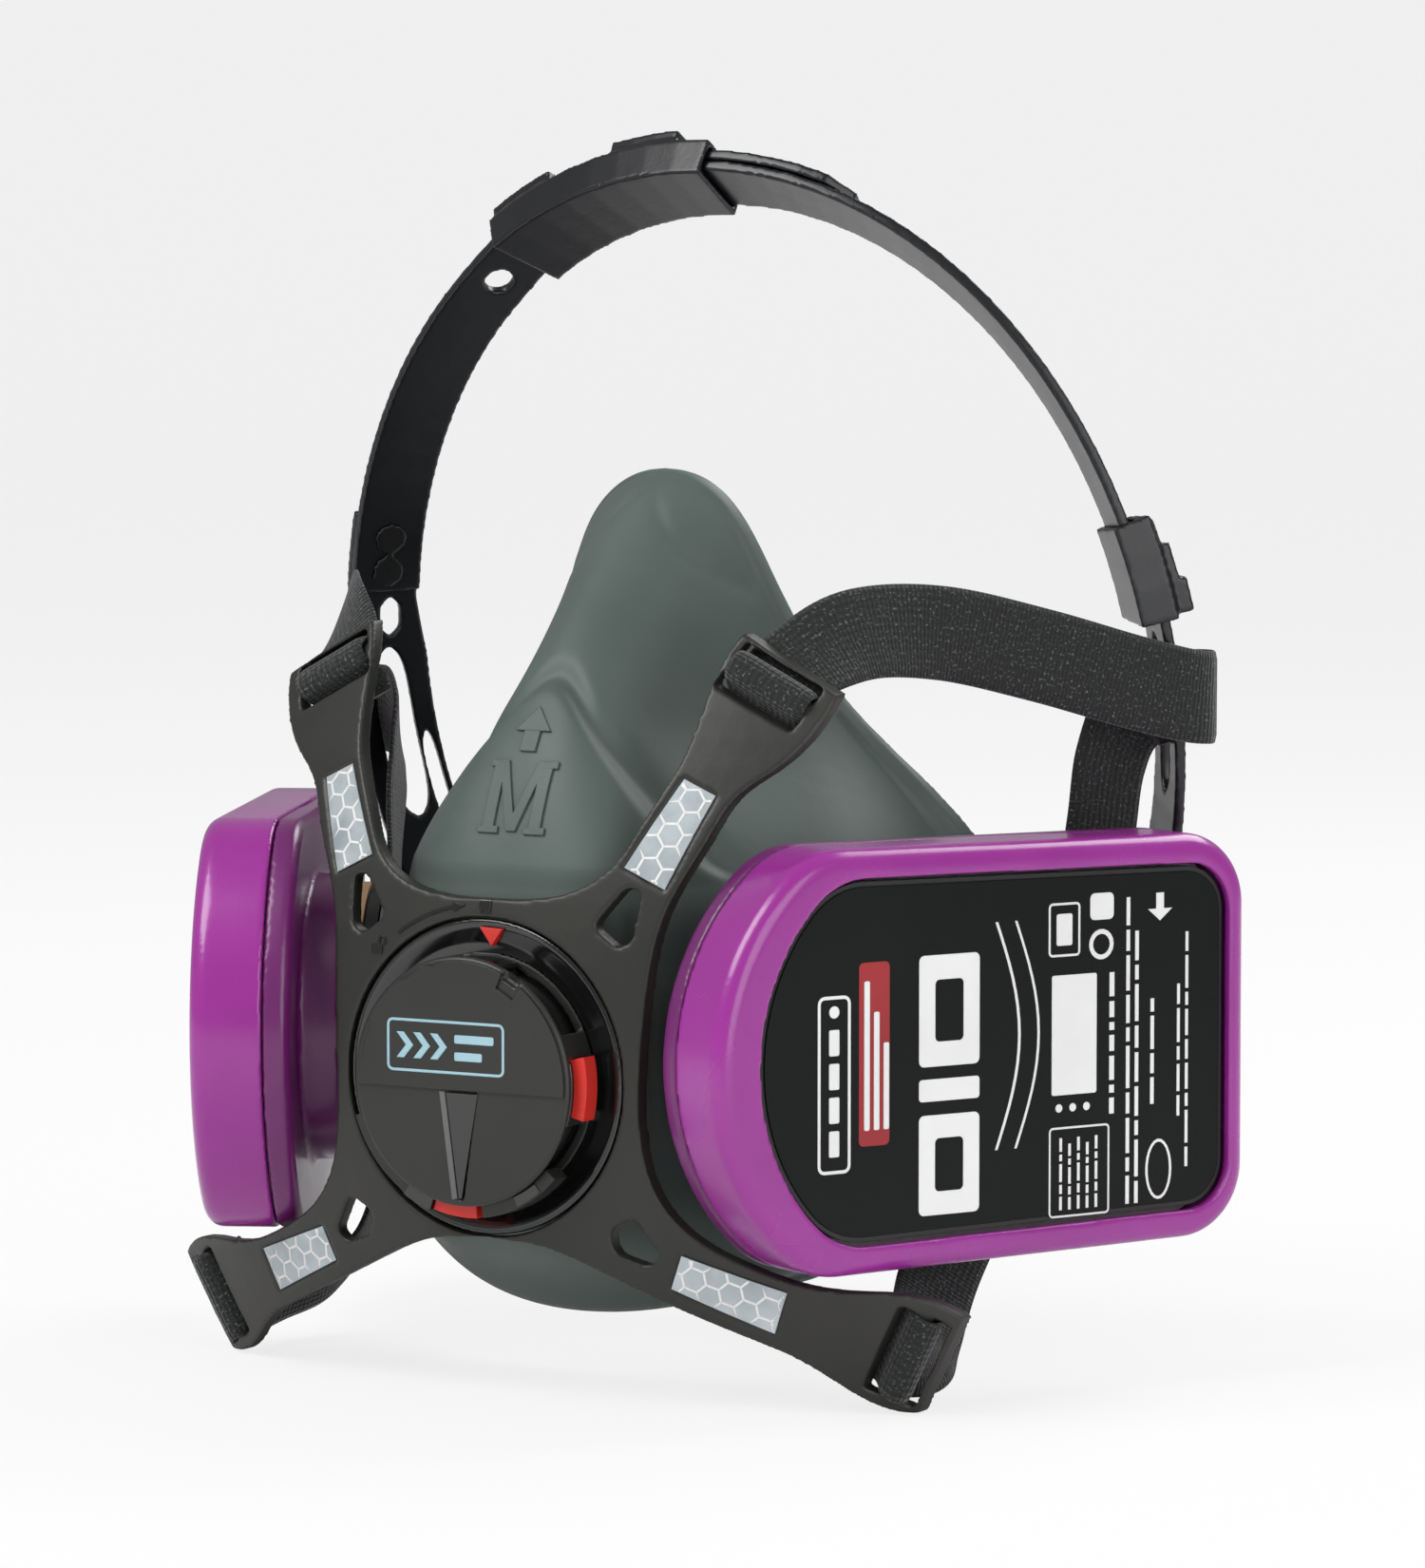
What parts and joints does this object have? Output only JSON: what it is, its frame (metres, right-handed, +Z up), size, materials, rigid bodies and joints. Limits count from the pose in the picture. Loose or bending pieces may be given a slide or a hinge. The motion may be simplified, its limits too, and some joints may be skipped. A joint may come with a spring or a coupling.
{
  "type": "half-mask respirator",
  "caption": "Reusable half-mask respirator with a soft facepiece, front exhalation valve, twist-on side filters with press-to-test covers, an elastic harness and an adjustable head cradle.",
  "frame": {"origin": "centre of the exhalation valve's bezel ring, at its mid depth", "axes": "+X to the wearer's left, +Y back towards the head, +Z up"},
  "size_m": [0.1904, 0.1248, 0.206],
  "materials": {
    "facepiece_rubber": "matte, soft",
    "valve_rubber": "satin",
    "flap_rubber": "satin",
    "gasket_rubber": "satin",
    "dark_plastic": "fine satin",
    "seat_plastic": "satin",
    "ring_red": "satin",
    "cradle_plastic": "satin",
    "stud_plastic": "satin",
    "magenta_plastic": "satin",
    "cover_plastic": "satin",
    "label_print": "printed, satin",
    "pleated_media": "pleated felt",
    "reflector_film": "retroreflective",
    "spring_wire": "drawn wire",
    "elastic_weave": "woven elastic"
  },
  "bodies": {
    "root_facepiece": {"facepiece": "facepiece_rubber", "valve_seat": "seat_plastic", "valve_bezel": "dark_plastic", "valve_locking_ring": "ring_red", "harness_yoke": "dark_plastic", "left_upper_reflector": "reflector_film", "left_lower_reflector": "reflector_film", "left_port_collar": "cover_plastic", "left_port_gasket": "gasket_rubber", "left_elastic_strap": "elastic_weave", "right_upper_reflector": "reflector_film", "right_lower_reflector": "reflector_film", "right_port_collar": "cover_plastic", "right_port_gasket": "gasket_rubber", "right_elastic_strap": "elastic_weave"},
    "valve_cover": {"valve_cover": "dark_plastic"},
    "exhalation_flap": {"exhalation_flap": "flap_rubber"},
    "head_cradle": {"crown_strap_right": "cradle_plastic", "crown_strap_left": "cradle_plastic", "crown_adjuster": "cradle_plastic", "nape_band": "cradle_plastic", "cradle_studs": "stud_plastic", "side_clip": "cradle_plastic"},
    "left_inhalation_flap": {"left_inhalation_flap": "flap_rubber"},
    "left_cartridge": {"left_filter_base": "magenta_plastic", "left_filter_rim": "magenta_plastic", "left_filter_media": "pleated_media", "left_press_spring": "spring_wire"},
    "left_press": {"left_press_cover": "cover_plastic", "left_filter_label": "label_print", "left_closing_pad": "valve_rubber"},
    "right_inhalation_flap": {"right_inhalation_flap": "flap_rubber"},
    "right_cartridge": {"right_filter_base": "magenta_plastic", "right_filter_rim": "magenta_plastic", "right_filter_media": "pleated_media", "right_press_spring": "spring_wire"},
    "right_press": {"right_press_cover": "cover_plastic", "right_filter_label": "label_print", "right_closing_pad": "valve_rubber"}
  },
  "joints": [
    {"name": "valve_cover_turn", "type": "hinge", "parent": "root_facepiece", "child": "valve_cover", "pos_m": [0, 0, 0], "axis": [0, -1, 0], "range_deg": [0, 45]},
    {"name": "exhalation_flap_lift", "type": "slide", "parent": "root_facepiece", "child": "exhalation_flap", "axis": [0, -1, 0], "range_m": [0, 0.0015]},
    {"name": "cradle_tilt", "type": "hinge", "parent": "root_facepiece", "child": "head_cradle", "pos_m": [0, 0.088, 0.057], "axis": [1, 0, 0], "range_deg": [-10, 10], "stiffness_Nm_per_rad": 0.15, "deforming": ["left_elastic_strap", "right_elastic_strap"]},
    {"name": "left_inhalation_flap_lift", "type": "slide", "parent": "root_facepiece", "child": "left_inhalation_flap", "axis": [-0.9003, 0.4352, 0], "range_m": [0, 0.0012]},
    {"name": "left_cartridge_twist", "type": "hinge", "parent": "root_facepiece", "child": "left_cartridge", "pos_m": [0.05, 0.025, 0.0045], "axis": [0.9003, -0.4352, 0], "range_deg": [0, 25]},
    {"name": "left_press", "type": "slide", "parent": "left_cartridge", "child": "left_press", "axis": [-0.9003, 0.4352, 0], "range_m": [0, 0.003], "stiffness_N_per_m": 1500, "deforming": ["left_press_spring"]},
    {"name": "right_inhalation_flap_lift", "type": "slide", "parent": "root_facepiece", "child": "right_inhalation_flap", "axis": [0.9003, 0.4352, 0], "range_m": [0, 0.0012]},
    {"name": "right_cartridge_twist", "type": "hinge", "parent": "root_facepiece", "child": "right_cartridge", "pos_m": [-0.05, 0.025, 0.0045], "axis": [0.9003, 0.4352, 0], "range_deg": [0, 25]},
    {"name": "right_press", "type": "slide", "parent": "right_cartridge", "child": "right_press", "axis": [0.9003, 0.4352, 0], "range_m": [0, 0.003], "stiffness_N_per_m": 1500, "deforming": ["right_press_spring"]}
  ]
}
